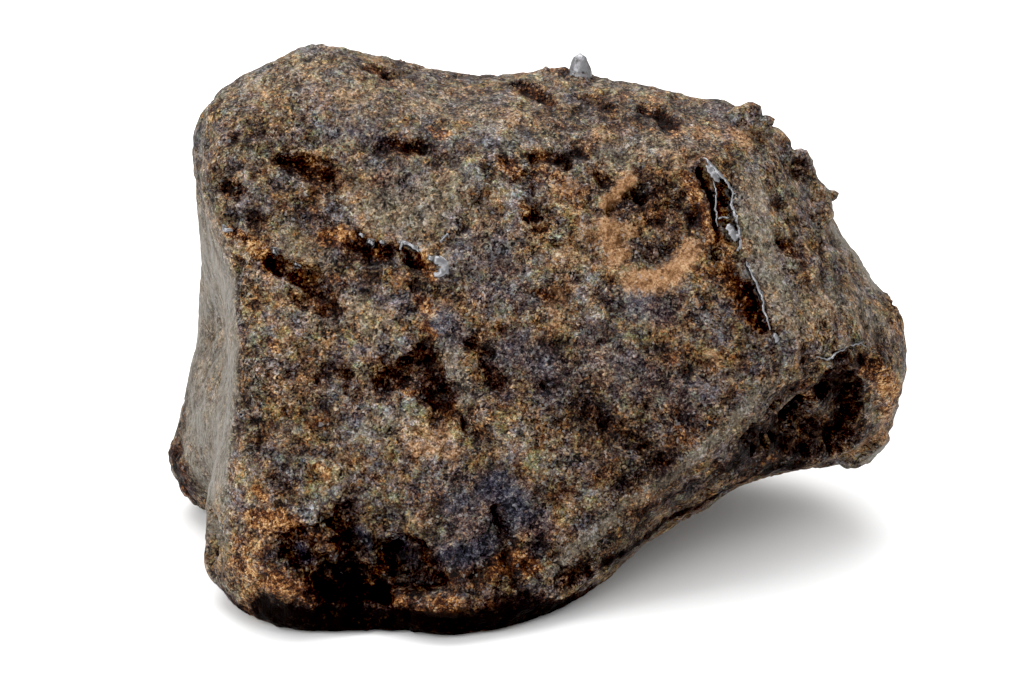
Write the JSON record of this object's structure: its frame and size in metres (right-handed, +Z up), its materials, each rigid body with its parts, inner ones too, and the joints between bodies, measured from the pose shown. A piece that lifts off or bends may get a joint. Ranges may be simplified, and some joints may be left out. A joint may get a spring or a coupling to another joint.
{
  "type": "iron meteorite",
  "caption": "Fist-sized weathered iron meteorite in one piece: a broad leaning face, a narrow side face, an overhanging end, thumbprint hollows and thin bare metal rims, standing on a flat foot.",
  "frame": {"origin": "on the table, under the middle of the stone's bounding box", "axes": "+Z up; -Y is the broad leaning face that the viewer sees; +X is the end that juts out over the table"},
  "size_m": [0.1058, 0.0762, 0.0688],
  "materials": {
    "weathered_iron": "fine-grained brown-grey crust, satin, with black hollows, ochre and rust patches and thin bright bare metal rims"
  },
  "bodies": {
    "root": {"meteorite": "weathered_iron"}
  },
  "joints": []
}
